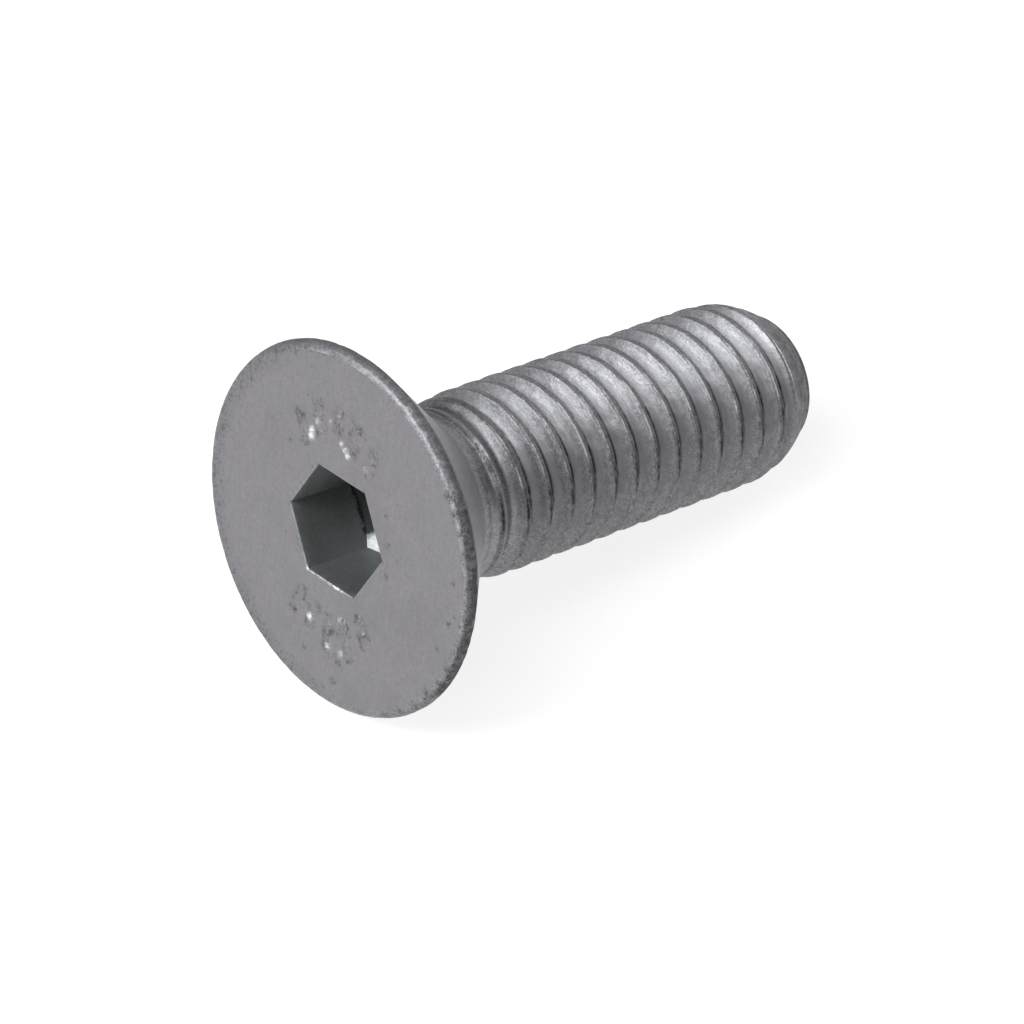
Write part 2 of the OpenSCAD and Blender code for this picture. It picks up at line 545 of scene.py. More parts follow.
@dataclass
class CountersunkHead:
    """The head: fillet, countersink, rounded rim and flat face with worn raised strokes."""

    head_r: float = 9.85
    cone_lean: float = 45.0
    face_round: float = 0.5
    rim_round: float = 0.2
    neck_fillet: float = 1.0
    face_inner_r: float = 3.95
    mark_half_width: float = 0.2
    columns: int = 288
    face_rings: int = 44
    cone_parts: int = 8
    bead_rise: float = 0.15
    knock_depth: float = 0.03
    marks: tuple[RaisedMark, ...] = tuple(
        RaisedMark(*row)
        for row in (
            (143, 5.55, 0.6), (157, 5.75, 0.7), (171, 5.7, 0.8), (184, 5.5, 0.7), (199, 5.2, 0.5),
            (21, 5.5, 0.6), (8, 5.7, 0.7), (-5, 5.9, 0.9), (-18, 5.7, 0.9), (-33, 5.35, 0.7),
        )
    )
    beads: tuple[Patch, ...] = tuple(
        Patch(*row)
        for row in (
            (148, 5.03, 0.18), (149.5, 5.3, 0.14), (156, 5.71, 0.14, 0.8), (166, 5.89, 0.13, 0.8),
            (181, 4.5, 0.15), (178, 4.7, 0.15), (174.5, 4.9, 0.14), (-162, 4.69, 0.16, 0.8),
            (9.5, 5.62, 0.16), (-15, 4.76, 0.15), (-6, 6.48, 0.14, 0.5), (-14, 6.64, 0.18, 0.6),
        )
    )
    stains: tuple[Patch, ...] = tuple(
        Patch(*row)
        for row in (
            (98, 9.11, 0.34), (91, 9.12, 0.2), (129, 9.19, 0.2), (124, 8.99, 0.22), (150, 9.26, 0.25),
            (164, 9.38, 0.25), (124, 6.57, 0.3, 0.5), (154, 6.98, 0.4, 0.6), (180, 6.6, 0.45, 0.7),
            (114, 4.13, 0.3, 0.6), (128, 5.2, 0.35, 0.6), (-101, 8.74, 0.25), (-90, 9.0, 0.2),
            (-86, 8.7, 0.25), (-74, 8.52, 0.22), (-71, 9.57, 0.35), (-64, 9.6, 0.3), (-57, 9.4, 0.35),
            (-49, 9.57, 0.35), (-41, 9.57, 0.35), (-33, 9.6, 0.3), (-22, 9.6, 0.25),
            (-130, 9.45, 0.35, 1.3), (-124, 9.6, 0.3, 1.2), (-118, 9.65, 0.3, 1.1), (-112, 9.65, 0.3),
            (-129, 4.33, 0.25, 0.8), (-108, 3.9, 0.3, 0.8), (-99, 4.57, 0.25, 0.8), (-83, 4.0, 0.3, 0.9),
            (-30, 5.5, 0.4, 0.9), (-12, 5.6, 0.3, 0.9), (-12, 7.2, 0.4, 0.9), (8, 7.57, 0.25, 0.9),
            (-11, 6.82, 0.3, 0.8), (-9, 8.33, 0.35, 0.8), (34, 9.3, 0.25), (137, 4.88, 0.25, 0.7),
        )
    )

    @property
    def flat_r(self) -> float:
        """Radius of the flat face."""
        return self.head_r - self.face_round

    def outline(self, shank: ThreadedShank) -> Outline:
        """Half section of the head, from the neck to the inner edge of the face.

        Args:
            shank: The shank, which the neck has to meet.

        Returns:
            Radius and height of each point.
        """
        fillet = (shank.neck_r + self.neck_fillet, shank.neck_z)
        neck = arc(fillet, self.neck_fillet, 180, 180 + self.cone_lean, 8)
        low = arc((self.head_r - self.rim_round, self.face_round), self.rim_round, self.cone_lean, 0, 4)
        (top_r, top_z), (low_r, low_z) = neck[-1], low[0]
        shares = [k / self.cone_parts for k in range(1, self.cone_parts)]
        cone = [(top_r + (low_r - top_r) * share, top_z + (low_z - top_z) * share) for share in shares]
        edge = arc((self.flat_r, self.face_round), self.face_round, 0, -90, 10)[1:]
        step = (self.flat_r - self.face_inner_r) / self.face_rings
        face = [(self.flat_r - step * k, 0.0) for k in range(1, self.face_rings + 1)]
        return neck + cone + low + edge + face

    def turn(self, shank: ThreadedShank) -> Piece:
        """Spins the half section about the axis and raises the strokes.

        Args:
            shank: The shank, which the neck has to meet.

        Returns:
            The head, with open rings at the neck and round the socket.
        """
        piece = trace_outline("head", self.outline(shank))
        with editing(piece):
            bpy.ops.mesh.spin(steps=self.columns, angle=math.tau, center=(0, 0, 0), axis=(0, 0, 1))
        weld(piece)
        spots = read_spots(piece)
        rise = self.relief(spots)
        spots[:, :2] *= (1 - self.knocks(spots) / self.head_r)[:, None]
        spots[:, 2] -= rise
        write_spots(piece, spots)
        return piece

    def knocks(self, spots: Array) -> Array:
        """Depth of the small knocks on the rim over each vertex, and zero elsewhere."""
        radius = np.hypot(spots[:, 0], spots[:, 1])
        on_rim = ease(radius, self.flat_r - 0.25, self.head_r - 0.25) * (spots[:, 2] < 1)
        return self.knock_depth * on_rim * np.maximum(lumps(spots, 1.4) + lumps(spots, 3.3) + 0.1, 0)

    def worn(self, spots: Array) -> Array:
        """How much of the strokes is left at each vertex."""
        return np.clip(0.7 + 1.3 * lumps(spots, 1.5) + 0.9 * lumps(spots, 3.7), 0.0, 1.4)

    def relief(self, spots: Array) -> Array:
        """Height of the strokes over each vertex of the flat face, and zero elsewhere."""
        radius = np.hypot(spots[:, 0], spots[:, 1])
        on_face = (spots[:, 2] < NEAR) & (radius > self.face_inner_r + NEAR)
        worn = self.worn(spots)
        heights = [mark.height(spots, self.mark_half_width) * worn for mark in self.marks]
        beads = [self.bead_rise * bead.share(spots) for bead in self.beads]
        return np.where(on_face, np.max(heights + beads, axis=0), 0.0)

    def wear_rim(self, at: Surface) -> None:
        """Notes the wear of the rim: worn bright with a painted highlight on its lit side, darker along its
        outer band, and painted shade on its upper and shaded sides.

        Args:
            at: The surface to note it on.
        """
        from_edge = np.hypot(at.radius - self.flat_r, at.z - self.face_round * 0.15)
        shaded_side = sector(at.turn, -95, 30, 50)
        upper_side = sector(at.turn, -165, 28, 50)
        # Painted shade on the outer rounding of the upper and shaded sides; darker along the outer band below
        # the face's edge.
        shade = ease(at.z, 0.04, 0.16) * np.maximum(0.9 * shaded_side, 0.8 * upper_side)
        below = 0.7 * bell(at.z, self.face_round, 0.2) * (at.radius > self.flat_r)
        # A bright band on the lit side, partly wear and partly painted highlight; more pits on the shaded
        # side.
        at.note(
            (at.z < self.face_round + self.rim_round) & (at.radius > self.flat_r - 0.4),
            rubbed=0.5 * bell(from_edge, 0.05, 0.12) * sector(at.turn, -175, 18, 40),
            sheltered=np.maximum(below, shade),
            battered=0.4 + 0.4 * shaded_side,
        )

    def wear_face(self, at: Surface, socket: "HexagonSocket") -> None:
        """Notes the wear of the face: its strokes, bright beads that are partly worn and partly painted
        highlight, a dark halo round each stroke, the lip of the socket and the stains near the rim.

        Args:
            at: The surface to note it on.
            socket: The socket, whose lip is part of the face.
        """
        from_lip = socket.beyond(at.spots)
        lip = bell(from_lip, 0.08, 0.05) * socket.chips(at)
        beads = np.max([bead.share(at.spots) for bead in self.beads], axis=0)
        from_stroke = np.min([mark.gap(at.spots) for mark in self.marks], axis=0)
        worn = self.worn(at.spots)
        strokes = (1 - ease(from_stroke, self.mark_half_width, self.mark_half_width * 2.6)) * worn
        # The beads are painted bright, partly as worn bare metal and partly as painted highlight.
        at.note(
            (at.z < NEAR) & (at.radius > socket.across_flats / 2) & (at.radius < self.flat_r),
            rubbed=np.maximum(2.4 * beads, 1.4 * lip),
            battered=np.maximum(0.9 * strokes, lip),
        )
        left_side = sector(at.turn, 70, 60, 90)
        # A dark halo round each stroke.
        smudge = 0.7 * bell(from_stroke, 0.25, 0.35) * worn
        fringe = ease(at.radius, 7.6, 9.5) * (0.3 + 0.4 * left_side)
        thin_edge = bell(at.radius, self.head_r - 0.12, 0.14) * left_side
        top_edge = 0.9 * bell(at.radius, 9.45, 0.22) * sector(at.turn, 152, 12, 24)
        low_edge = 0.7 * bell(at.radius, 9.7, 0.25) * sector(at.turn, -78, 44, 56)
        corners = 0.35 * bell(from_lip, 0.1, 0.35)
        stains = [stain.share(at.spots) for stain in self.stains]
        stains = np.max(stains + [smudge, fringe, thin_edge, top_edge, low_edge, corners], axis=0)
        near_face = (at.z < self.face_round + self.rim_round) & (at.radius > socket.mouth_r - 0.6)
        at.note(near_face, stained=stains * (1 - beads) * (1 - 0.7 * lip))


@dataclass
class HexagonSocket:
    """The hexagon for the key: a worn lip, six walls and the cone that they run down to."""

    across_flats: float = 6.0
    corner_depth: float = 4.0
    cone_angle: float = 118.0
    turn: float = 27.0
    lip: float = 0.1
    border: float = 0.25
    side_parts: int = 28
    wall_rings: int = 6
    wall_share: float = 0.97

    @property
    def corner_r(self) -> float:
        """Distance of a corner from the axis."""
        return self.across_flats / 2 / math.cos(math.radians(30))

    @property
    def mouth_r(self) -> float:
        """Distance from the axis that takes in the corners of the mouth."""
        return self.corner_r + self.lip + 0.05

    def beyond(self, spots: Array) -> Array:
        """Distance of each vertex outwards from the nearest wall's plane."""
        walls = np.radians(self.turn + 30 + 60 * np.arange(6))
        out = np.outer(spots[:, 0], np.cos(walls)) + np.outer(spots[:, 1], np.sin(walls))
        return out.max(axis=1) - self.across_flats / 2

    def cone_z(self, radius: Array | float) -> Array | float:
        """Depth of the cone at a radius."""
        lean = math.radians(self.cone_angle / 2)
        return self.corner_depth + (self.corner_r - radius) / math.tan(lean)

    def sink(self) -> Piece:
        """Draws the socket down from its mouth.

        Returns:
            The socket, with an open ring at its mouth.
        """
        start_fresh()
        mouth_r = self.corner_r + self.lip
        outer_r = mouth_r + self.border
        turn = math.radians(self.turn)
        bpy.ops.mesh.primitive_circle_add(vertices=6, radius=outer_r, fill_type="NOTHING")
        piece = bpy.context.object
        piece.name = "socket"
        spots = read_spots(piece)
        angles = np.arctan2(spots[:, 1], spots[:, 0])
        angles = angles - angles[0] + turn
        write_spots(piece, np.column_stack([outer_r * np.cos(angles), outer_r * np.sin(angles), spots[:, 2]]))
        border = [(mouth_r + self.border * share, 0.0) for share in (0.7, 0.45, 0.2)]
        lip = arc((mouth_r, self.lip), self.lip, -90, -180, 4)
        deep = self.corner_depth * self.wall_share
        walls = [
            (self.corner_r, self.lip + (deep - self.lip) * k / self.wall_rings)
            for k in range(1, self.wall_rings + 1)
        ]
        floor_z = deep + 1.0
        floor = [(self.corner_r * share, floor_z) for share in (1.0, 0.8, 0.6, 0.4, 0.2)]
        with editing(piece):
            bpy.ops.mesh.subdivide(number_cuts=self.side_parts - 1)
            draw_rings(border + lip + walls + floor, (outer_r, 0.0))
            bpy.ops.mesh.edge_face_add()
            bpy.ops.mesh.poke()
        spots = read_spots(piece)
        radius = np.hypot(spots[:, 0], spots[:, 1])
        spots[:, 2] = np.where(spots[:, 2] > floor_z - NEAR, self.cone_z(radius), spots[:, 2])
        write_spots(piece, spots)
        return piece

    def lower_lip(self, at: Surface) -> Array:
        """How far each vertex lies on the side where the lip is chipped."""
        return sector(at.turn, 3, 22, 30)

    def chips(self, at: Surface) -> Array:
        """How chipped the lip is at each vertex."""
        return self.lower_lip(at) * np.clip(0.55 + 1.8 * lumps(at.spots, 2.7), 0.0, 1.3)

    def wear(self, at: Surface) -> None:
        """Notes the wear of the socket: a chipped lip, a darkened top of the lip, and painted shade that
        deepens towards the bottom and covers the cone except for one lit patch.

        Args:
            at: The surface to note it on.
        """
        lower_lip = self.lower_lip(at)
        # Painted shade on the cone, apart from one lit patch, and deepening towards the bottom; the top of
        # the lip is darkened except where it is chipped.
        dull_cone = 3.0 * ease(at.z, 3.85, 3.95) * (1 - sector(at.turn, 10, 18, 36))
        dull_lip = 0.5 * (1 - ease(at.z, 0.06, 0.2)) * (1 - lower_lip)
        at.note(
            (at.radius < self.mouth_r) & (at.z < self.cone_z(0.0) + NEAR) & (at.z > NEAR),
            rubbed=(1 - ease(at.z, 0.0, 0.14)) * self.chips(at),
            sheltered=np.max([ease(at.z, 2.0, 4.0) * 0.2, dull_cone, dull_lip], axis=0),
            battered=(1 - ease(at.z, 0.0, 0.25)) * (0.4 + 0.6 * lower_lip),
        )


@dataclass
class Lie:
    """Where the screw lies: the place of its face's centre and the direction of its axis."""

    face: Vector
    axis: Vector

    @classmethod
    def from_mount(cls, name: str) -> "Lie":
        """Reads the place from a mount on the face whose axis points out of the head."""
        mount = next(m for m in frame["record"]["mounts"] if m["name"] == name)
        return cls(Vector(mount["pos_m"]), -Vector(mount["axis"]).normalized())

    def matrix(self) -> Matrix:
        """Matrix from millimetres along the screw's own axis to metres in the frame."""
        across = Vector((0, 1, 0))
        down = across.cross(self.axis).normalized()
        turn = Matrix((down, across, self.axis)).transposed().to_4x4()
        return Matrix.Translation(self.face) @ turn @ Matrix.Scale(METRES, 4)


@dataclass
class Screw:
    """The whole screw as one closed mesh, with its finishes."""

    shank: ThreadedShank = field(default_factory=ThreadedShank)
    head: CountersunkHead = field(default_factory=CountersunkHead)
    socket: HexagonSocket = field(default_factory=HexagonSocket)
    sharp_angle: float = 38.0

    def build(self) -> Piece:
        """Models the screw along its own axis.

        Returns:
            The screw as one closed mesh, in millimetres.
        """
        body = self.shank.wind()
        self.shank.close_end(body)
        head = self.head.turn(self.shank)
        socket = self.socket.sink()
        take_up(body)
        head.select_set(True)
        socket.select_set(True)
        bpy.ops.object.join()
        with editing(body):
            for height in (self.shank.neck_z, 0.0):
                picked = pick_open_edges(body, height)
                bpy.ops.mesh.fill(use_beauty=True)
                log.info("filled the ring at %.3f mm between %d edges", height, picked)
            bpy.ops.mesh.select_all(action="SELECT")
            bpy.ops.mesh.normals_make_consistent(inside=False)
        return body

    def note_wear(self, piece: Piece) -> None:
        """Notes on each vertex its wear with painted highlights, its dirt with painted shade, how battered
        and stained it is, and the painted light in the thread's valleys.
        """
        at = Surface(read_spots(piece))
        self.shank.wear(at)
        self.head.wear_rim(at)
        self.head.wear_face(at, self.socket)
        self.socket.wear(at)
        for name, values in at.notes.items():
            note = piece.data.attributes.new(name, "FLOAT", "POINT")
            note.data.foreach_set("value", values.astype(np.float32))

    def sort_faces(self, piece: Piece) -> None:
        """Gives each face the finish of its region."""
        for face in piece.data.polygons:
            spot = face.center
            radius = math.hypot(spot.x, spot.y)
            region = Region.COATING
            if radius < self.socket.corner_r and NEAR < spot.z < self.shank.neck_z + 1:
                region = Region.SOCKET
            if spot.z > self.shank.length - NEAR:
                region = Region.SHEARED_END
            if spot.z < NEAR:
                region = Region.FACE
            face.material_index = region.value

    def dress(self, piece: Piece) -> None:
        """Gives the piece its finishes, one slot for each region."""
        groups = {effect.__name__: effect() for effect in EFFECTS}
        piece.data.materials.clear()
        for region in Region:
            piece.data.materials.append(FINISHES[region].make(groups))
        self.sort_faces(piece)

    def lay_down(self, piece: Piece, lie: Lie) -> None:
        """Lays the screw on the floor, with its place in its mesh."""
        piece.matrix_world = lie.matrix()
        take_up(piece)
        bpy.ops.object.transform_apply(location=True, rotation=True, scale=True)
        bpy.ops.object.shade_smooth_by_angle(angle=math.radians(self.sharp_angle))


class Wiring:
    """A node tree with short methods for the nodes that the finishes use."""

    def __init__(self, tree: Tree) -> None:
        """Keeps the tree."""
        self.tree = tree

    def put(self, kind: str, values: dict | None = None, **settings: object) -> Node:
        """Adds a node.

        Args:
            kind: Type name of the node.
            values: Value or wire for each input, by name or number.
            **settings: Properties of the node.

        Returns:
            The new node.
        """
        node = self.tree.nodes.new(kind)
        for name, value in settings.items():
            setattr(node, name, value)
        for name, value in (values or {}).items():
            self.feed(node.inputs[name], value)
        return node

    def feed(self, socket: Wire, value: object) -> None:
        """Links a wire to an input, or sets the input's own value."""
        if isinstance(value, Wire):
            self.tree.links.new(value, socket)
        else:
            socket.default_value = value

    def math(self, operation: str, first: object, second: object = 0.0, clamp: bool = False) -> Wire:
        """Result of one sum on two values."""
        node = self.put("ShaderNodeMath", {0: first, 1: second}, operation=operation, use_clamp=clamp)
        return node.outputs[0]

    def times(self, first: object, second: object, clamp: bool = False) -> Wire:
        """Product of two values."""
        return self.math("MULTIPLY", first, second, clamp)

    def spread(
        self, value: object, low: float, high: float, to_low: float = 0.0, to_high: float = 1.0
    ) -> Wire:
        """Maps a range of values smoothly to another range."""
        limits = {"Value": value, "From Min": low, "From Max": high, "To Min": to_low, "To Max": to_high}
        return self.put("ShaderNodeMapRange", limits, interpolation_type="SMOOTHSTEP").outputs[0]

    def noise(self, place: Wire, scale: object, detail: float, roughness: float = 0.55) -> Wire:
        """Value of a soft noise."""
        values = {"Vector": place, "Scale": scale, "Detail": detail, "Roughness": roughness}
        return self.put("ShaderNodeTexNoise", values).outputs["Fac"]

    def stretch(self, place: Wire, scale: Sequence[float], turn: Sequence[float] = (0, 0, 0)) -> Wire:
        """Turns and scales a place, so that a pattern has a grain direction."""
        values = {"Vector": place, "Scale": tuple(scale), "Rotation": tuple(turn)}
        return self.put("ShaderNodeMapping", values).outputs[0]

    def bump(self, height: Wire, depth: float, below: dict[str, Wire] | None = None) -> Wire:
        """Normal of a bump of so many millimetres, on top of another one's."""
        values = {"Strength": 1.0, "Distance": depth * METRES, "Height": height, **(below or {})}
        return self.put("ShaderNodeBump", values).outputs["Normal"]

    def blend(self, share: object, first: object, second: object) -> Wire:
        """Blend of two colours, which the node takes at inputs 6 and 7 and gives at output 2."""
        return self.put("ShaderNodeMix", data_type="RGBA", values={0: share, 6: first, 7: second}).outputs[2]


def start_group(name: str, *numbers: str) -> tuple:
    """Starts a shader node group that takes a place and some numbers.

    Args:
        name: Name of the group.
        *numbers: Name of each number that it takes.

    Returns:
        The group's wiring, then the wires of the place and of each number.
    """
    tree = bpy.data.node_groups.new(name, "ShaderNodeTree")
    tree.interface.new_socket("Place", in_out="INPUT", socket_type="NodeSocketVector")
    for number in numbers:
        tree.interface.new_socket(number, in_out="INPUT", socket_type="NodeSocketFloat")
    entry = tree.nodes.new("NodeGroupInput")
    return Wiring(tree), *(entry.outputs[socket] for socket in ("Place", *numbers))


def end_group(wiring: Wiring, **results: Wire) -> Tree:
    """Gives a shader node group its outputs.

    Args:
        wiring: The group's wiring.
        **results: Wire of each output by its name.

    Returns:
        The finished group.
    """
    for name in results:
        wiring.tree.interface.new_socket(name, in_out="OUTPUT", socket_type="NodeSocketFloat")
    wiring.put("NodeGroupOutput", results)
    return wiring.tree


def flake_grain() -> Tree:
    """Fine flakes in a dull coat: a sparkle for the colour and a height for the bump."""
    wiring, place, size = start_group("flake_grain", "Size")
    scale = wiring.math("DIVIDE", 1.0, size)
    fine = wiring.noise(place, scale, 1.0, 0.6)
    coarse = wiring.noise(place, wiring.times(scale, 0.35), 3.0, 0.6)
    mixed = wiring.math("ADD", wiring.times(fine, 0.55), wiring.times(coarse, 0.45))
    return end_group(wiring, Sparkle=wiring.spread(mixed, 0.4, 0.6), Height=mixed)


def rubbed_edges() -> Tree:
    """Bright broken patches where the coat is worn off an edge, and painted highlights."""
    wiring, place, rubbed, amount = start_group("rubbed_edges", "Rubbed", "Amount")
    patchy = wiring.spread(wiring.noise(place, 0.55, 2.0), 0.42, 0.62)
    crumbly = wiring.spread(wiring.noise(place, 6.0, 3.0, 0.7), 0.38, 0.66)
    reach = wiring.times(wiring.times(rubbed, amount), wiring.math("ADD", 0.25, patchy))
    return end_group(wiring, Mask=wiring.times(reach, wiring.math("ADD", 0.3, crumbly), clamp=True))


def settled_dirt() -> Tree:
    """Dark dirt and painted shade where the notes ask for them, and a few loose specks of dirt elsewhere."""
    wiring, place, sheltered, amount, specks = start_group("settled_dirt", "Sheltered", "Amount", "Specks")
    uneven = wiring.spread(wiring.noise(place, 2.5, 4.0, 0.65), 0.3, 0.62, 0.35, 1.0)
    settled = wiring.times(wiring.times(sheltered, amount), uneven)
    dots = wiring.spread(wiring.noise(place, 5.0, 2.0, 0.5), 0.66, 0.74)
    where = wiring.spread(wiring.noise(place, 0.45, 2.0), 0.45, 0.65)
    loose = wiring.times(wiring.times(dots, where), specks)
    return end_group(wiring, Mask=wiring.math("MAXIMUM", settled, loose, clamp=True))


def battered_edges() -> Tree:
    """Crumbly knocks along an edge: a height for the bump, with dark pits and bright chips."""
    wiring, place, battered = start_group("battered_edges", "Battered")
    crumbs = wiring.noise(place, 7.0, 4.0, 0.7)
    other = wiring.noise(wiring.stretch(place, (1.0, 1.3, 0.8), (0.4, 0.9, 0.2)), 8.5, 3.0, 0.7)
    return end_group(
        wiring,
        Height=wiring.times(crumbs, battered),
        Pits=wiring.times(wiring.spread(other, 0.52, 0.62), battered, clamp=True),
        Chips=wiring.times(wiring.spread(other, 0.45, 0.32), battered, clamp=True),
    )


def crumbly_stains() -> Tree:
    """Dark crumbs of dirt that stick in loose patches."""
    wiring, place, stained = start_group("crumbly_stains", "Stained")
    crumbs = wiring.noise(place, 4.5, 5.0, 0.72)
    loose = wiring.spread(wiring.math("ADD", crumbs, wiring.times(stained, 0.3)), 0.66, 0.84)
    film = wiring.times(wiring.spread(stained, 0.25, 1.0), 0.3)
    return end_group(wiring, Mask=wiring.math("MAXIMUM", loose, film))


def handling() -> Tree:
    """Fine upright streaks, broad stains and a faint change of hue from handling and the coating bath."""
    wiring, place = start_group("handling")
    streaked = wiring.stretch(place, (0.8, 9.0, 0.8))
    return end_group(
        wiring,
        Streaks=wiring.spread(wiring.noise(streaked, 1.0, 4.0, 0.65), 0.42, 0.68),
        Stains=wiring.spread(wiring.noise(place, 0.3, 4.0, 0.6), 0.48, 0.7),
        Hue=wiring.spread(wiring.noise(place, 0.55, 4.0, 0.6), 0.38, 0.62),
    )


EFFECTS = (flake_grain, rubbed_edges, settled_dirt, battered_edges, crumbly_stains, handling)


@dataclass(frozen=True)
class FlakeFinish:
    """A dull grey coat of metal flakes, with its worn, dirty and stained places, painted highlights, painted
    shade and painted light.

    Attributes:
        name: Name of the material.
        coat: Colour of the clean coat.
        sparkle: Colour of the brighter flakes.
        cool: Colour of the coat where its hue leans to green.
        stain: Colour of the broad stains.
        rubbed: Colour of the bare metal where the coat is worn away, also used for painted highlights.
        thick: Colour of the lighter coat painted on the low flanks of the thread's shaded side, as painted
            light.
        dirt: Colour of the dirt, which also paints shade.
        metallic: Share of the surface that reflects as metal.
        dirt_shine: How much the dirt and the painted shade shine.
        roughness: Roughness of the clean coat.
        rubbed_roughness: Roughness of the worn places and the painted highlights.
        wear_amount: How far the edges are worn and painted bright.
        dirt_amount: How dark the dirt and the painted shade are.
        specks: How many loose specks there are.
        streaked: How strong the fine streaks are.
        blotched: How strong the broad stains are.
        crusted: How dark the crumbs of dirt are.
        crust_dulling: How far the crumbs of dirt hide the metal.
        dirt_roughness: Roughness that the dirt and the painted shade add.
        hued: How strong the change of hue is.
        pitted: How dark the pits of the battered edges are.
        chipped: How bright the chips of the battered edges are.
        battered_depth: Height of the bump of the battered edges in millimetres.
        grain: Size of a flake in millimetres.
        grain_depth: Height of the bump of the flakes in millimetres.
    """

    name: str
    coat: Colour = (0.203, 0.195, 0.206)
    sparkle: Colour = (0.334, 0.323, 0.337)
    cool: Colour = (0.236, 0.249, 0.253)
    stain: Colour = (0.176, 0.162, 0.170)
    rubbed: Colour = (0.85, 0.845, 0.86)
    thick: Colour = (0.50, 0.49, 0.505)
    dirt: Colour = (0.030, 0.031, 0.031)
    metallic: float = 0.95
    dirt_shine: float = 0.15
    roughness: float = 0.5
    rubbed_roughness: float = 0.42
    wear_amount: float = 0.8
    dirt_amount: float = 0.85
    specks: float = 0.35
    streaked: float = 0.1
    blotched: float = 0.18
    crusted: float = 0.75
    crust_dulling: float = 0.7
    dirt_roughness: float = 0.25
    hued: float = 0.3
    pitted: float = 0.5
    chipped: float = 0.2
    battered_depth: float = 0.05
    grain: float = 0.09
    grain_depth: float = 0.02

    def make(self, groups: dict[str, Tree]) -> bpy.types.Material:
        """Builds the material.

        Args:
            groups: The shared node groups by name.

        Returns:
            The material.
        """
        material = bpy.data.materials.new(self.name)
        material.use_nodes = True
        wiring = Wiring(material.node_tree)
        shader = material.node_tree.nodes["Principled BSDF"]
        shader.inputs["Specular IOR Level"].default_value = self.dirt_shine
        place = wiring.put("ShaderNodeTexCoord").outputs["Object"]
        place = wiring.stretch(place, (1 / METRES,) * 3)
        wires = {
            name: wiring.put("ShaderNodeAttribute", attribute_name=name).outputs["Fac"] for name in NOTES
        }
        wires["place"] = place

        def effect(name: str, **values: float) -> dict[str, Wire]:
            """Places one of the shared effects, with its own values, and gives its outputs."""
            node = wiring.put("ShaderNodeGroup", node_tree=groups[name])
            for socket in node.inputs:
                wiring.feed(socket, (wires | values)[socket.name.lower()])
            return node.outputs

        grain = effect("flake_grain", size=self.grain)
        handling_marks = effect("handling")
        knocks = effect("battered_edges")
        stains = effect("crumbly_stains")
        rubbed = effect("rubbed_edges", amount=self.wear_amount)
        dirt = effect("settled_dirt", amount=self.dirt_amount, specks=self.specks)
        colour = wiring.blend(grain["Sparkle"], (*self.coat, 1), (*self.sparkle, 1))
        layers = (
            (handling_marks["Hue"], self.hued, self.cool),
            (handling_marks["Stains"], self.blotched, self.stain),
            (handling_marks["Streaks"], self.streaked, self.stain),
            # Painted light: a lighter coat on the low flanks of the thread's shaded side.
            (wires["thick"], 1.0, self.thick),
            (knocks["Chips"], self.chipped, self.rubbed),
            (knocks["Pits"], self.pitted, self.dirt),
            (stains["Mask"], self.crusted, self.dirt),
            # Bare metal where the coat is worn, together with painted highlights.
            (rubbed["Mask"], 1.0, self.rubbed),
            # Dirt and painted shade, in the dark dirt colour.
            (dirt["Mask"], 1.0, self.dirt),
        )
        for mask, share, over in layers:
            colour = wiring.blend(wiring.times(mask, share), colour, (*over, 1))
        wiring.feed(shader.inputs["Base Color"], colour)
        crust = wiring.times(stains["Mask"], self.crust_dulling)
        dull = wiring.math("MAXIMUM", dirt["Mask"], crust)
        wiring.feed(shader.inputs["Metallic"], wiring.spread(dull, 0.0, 1.0, self.metallic, 0.0))
        rough = wiring.spread(rubbed["Mask"], 0.0, 1.0, self.roughness, self.rubbed_roughness)
        rough = wiring.math("ADD", rough, wiring.times(dirt["Mask"], self.dirt_roughness))
        wiring.feed(shader.inputs["Roughness"], rough)
        knocked = wiring.bump(knocks["Height"], self.battered_depth)
        bumped = wiring.bump(grain["Height"], self.grain_depth, {"Normal": knocked})
        wiring.feed(shader.inputs["Normal"], bumped)
        return material


FINISHES = {
    Region.COATING: FlakeFinish("flake_coating"),
    # The socket's coat is a lighter copy of the coat: painted light in the hollow.
    Region.SOCKET: FlakeFinish(
        "socket_coating",
        coat=(0.34, 0.348, 0.347),
        sparkle=(0.39, 0.398, 0.396),
        cool=(0.33, 0.348, 0.342),
    ),
    Region.SHEARED_END: FlakeFinish(
        "end_coating",
        coat=(0.172, 0.164, 0.174),
        sparkle=(0.285, 0.275, 0.287),
        roughness=0.48,
        specks=0.9,
    ),
    Region.FACE: FlakeFinish(
        "face_coating",
        coat=(0.244, 0.231, 0.244),
        sparkle=(0.283, 0.269, 0.284),
        cool=(0.233, 0.244, 0.248),
        streaked=0.2,
        hued=0.35,
        specks=0.5,
        grain_depth=0.012,
    ),
}


@dataclass(frozen=True)
class Softbox:
    """A square soft lamp that looks at the screw.

    Its azimuth is in degrees from +X, its elevation in degrees above the floor, and its size and
    distance in metres.
    """

    name: str
    azimuth: float
    elevation: float
    watts: float
    size: float = 0.5
    distance: float = 1.2
    tint: Colour = (0.97, 1.0, 1.03)

    def hang(self) -> None:
        """Hangs the lamp in its place."""
        lamp = bpy.data.objects.new(self.name, bpy.data.lights.new(self.name, "AREA"))
        lamp.data.shape = "SQUARE"
        lamp.data.size = self.size
        lamp.data.energy = self.watts
        lamp.data.color = self.tint
        around, up = math.radians(self.azimuth), math.radians(self.elevation)
        towards = Vector((math.cos(around) * math.cos(up), math.sin(around) * math.cos(up), math.sin(up)))
        lamp.location = towards * self.distance
        lamp.rotation_euler = towards.to_track_quat("Z", "Y").to_euler()
        bpy.context.collection.objects.link(lamp)


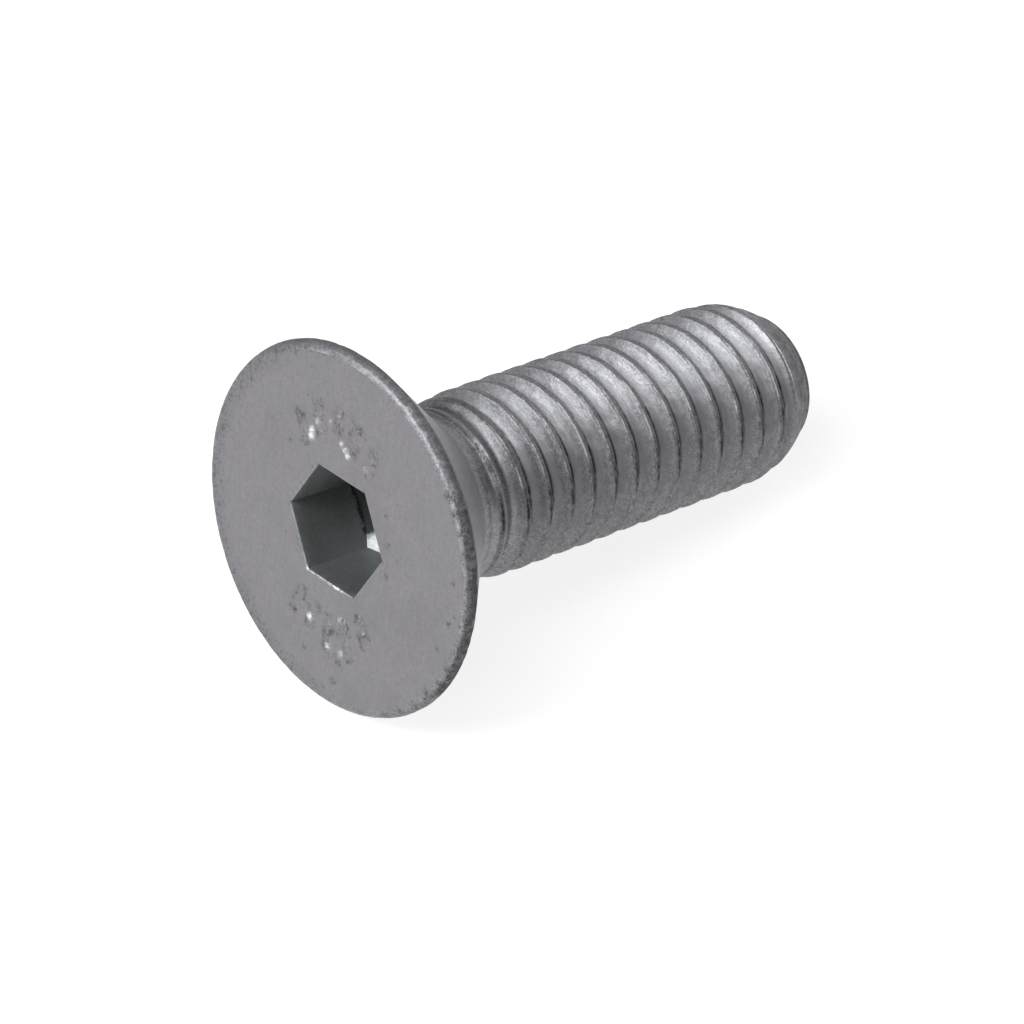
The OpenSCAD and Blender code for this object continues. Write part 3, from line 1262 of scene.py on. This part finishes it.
@dataclass
class Studio:
    """The pale floor, the soft lamps and the camera.

    The camera's numbers are in millimetres and degrees, and its target is a point near the screw.
    """

    floor_r: float = 3.0
    floor_albedo: float = 0.8
    shown_white: float = 0.85
    shown_albedo: float = 0.24
    world_grey: float = 0.01
    target: tuple[float, float, float] = (-2.348, 0.071, 4.674)
    distance: float = 346.715
    elevation: float = 38.759
    heading: float = 41.638
    lens: float = 237.577
    lamps: tuple[Softbox, ...] = (
        Softbox("key_softbox", 168, 42, 10.5),
        Softbox("high_softbox", 180, 60, 4.4),
        Softbox("side_softbox", 210, 60, 4.0),
        Softbox("back_softbox", 140, 40, 2.4),
        Softbox("low_softbox", 195, 22, 3.2),
        Softbox("pale_panel", 8, 30, 6.0, size=1.4, tint=(1.0, 1.0, 1.0)),
    )

    def build(self) -> None:
        """Sets up the camera, the floor and the lamps."""
        self.set_camera()
        self.lay_floor()
        self.light()
        log.info("studio: a floor, %d soft lamps and a camera", len(self.lamps))

    def lay_floor(self) -> None:
        """Lays a wide round floor that shows white and keeps the screw's shadow."""
        start_fresh()
        bpy.ops.mesh.primitive_circle_add(vertices=96, radius=self.floor_r, fill_type="NGON")
        floor = bpy.context.object
        floor.name = "floor"
        material = bpy.data.materials.new("pale_floor")
        material.use_nodes = True
        wiring = Wiring(material.node_tree)
        material.node_tree.nodes.clear()
        matt = wiring.put("ShaderNodeBsdfDiffuse", {"Color": (*(self.floor_albedo,) * 3, 1)})
        shaded = wiring.put("ShaderNodeBsdfDiffuse", {"Color": (*(self.shown_albedo,) * 3, 1)})
        white = wiring.put("ShaderNodeEmission", {"Color": (1, 1, 1, 1), "Strength": self.shown_white})
        shown = wiring.put("ShaderNodeAddShader", {0: white.outputs[0], 1: shaded.outputs[0]})
        path = wiring.put("ShaderNodeLightPath")
        seen = wiring.math("MAXIMUM", path.outputs["Is Camera Ray"], path.outputs["Is Glossy Ray"])
        seen = wiring.math("MAXIMUM", seen, path.outputs["Is Transmission Ray"])
        mixed = wiring.put("ShaderNodeMixShader", {0: seen, 1: matt.outputs[0], 2: shown.outputs[0]})
        leave = wiring.put("ShaderNodeOutputMaterial")
        wiring.feed(leave.inputs["Surface"], mixed.outputs[0])
        floor.data.materials.append(material)

    def light(self) -> None:
        """Hangs the soft lamps and sets the grey of the room."""
        world = bpy.data.worlds.new("room")
        bpy.context.scene.world = world
        world.use_nodes = True
        room = world.node_tree.nodes["Background"]
        room.inputs["Color"].default_value = (*(self.world_grey,) * 3, 1)
        room.inputs["Strength"].default_value = 1.0
        for lamp in self.lamps:
            lamp.hang()

    def set_camera(self) -> None:
        """Sets up the camera at the photograph's view."""
        up, heading = math.radians(self.elevation), math.radians(self.heading)
        ahead = Vector((math.sin(heading) * math.cos(up), math.cos(heading) * math.cos(up), -math.sin(up)))
        camera = bpy.data.objects.new("camera", bpy.data.cameras.new("camera"))
        camera.data.lens = self.lens
        camera.data.sensor_width = 36.0
        camera.data.clip_start = 0.01
        camera.data.clip_end = 10.0
        camera.location = (Vector(self.target) - ahead * self.distance) * METRES
        camera.rotation_euler = ahead.to_track_quat("-Z", "Y").to_euler()
        bpy.context.collection.objects.link(camera)
        bpy.context.scene.camera = camera


def main() -> None:
    """Builds the stage and the screw, and reports each piece."""
    logging.basicConfig(level=logging.INFO, format="%(name)s: %(message)s")
    bpy.context.scene.view_settings.view_transform = "Standard"
    Studio().build()
    screw = Screw()
    body = screw.build()
    screw.note_wear(body)
    screw.dress(body)
    screw.lay_down(body, Lie.from_mount(AXIS_MOUNT))
    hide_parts(NODE)
    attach(body, BODY)
    log.info("%s: %d vertices, %d faces", body.name, len(body.data.vertices), len(body.data.polygons))


if __name__ == "__main__":
    main()
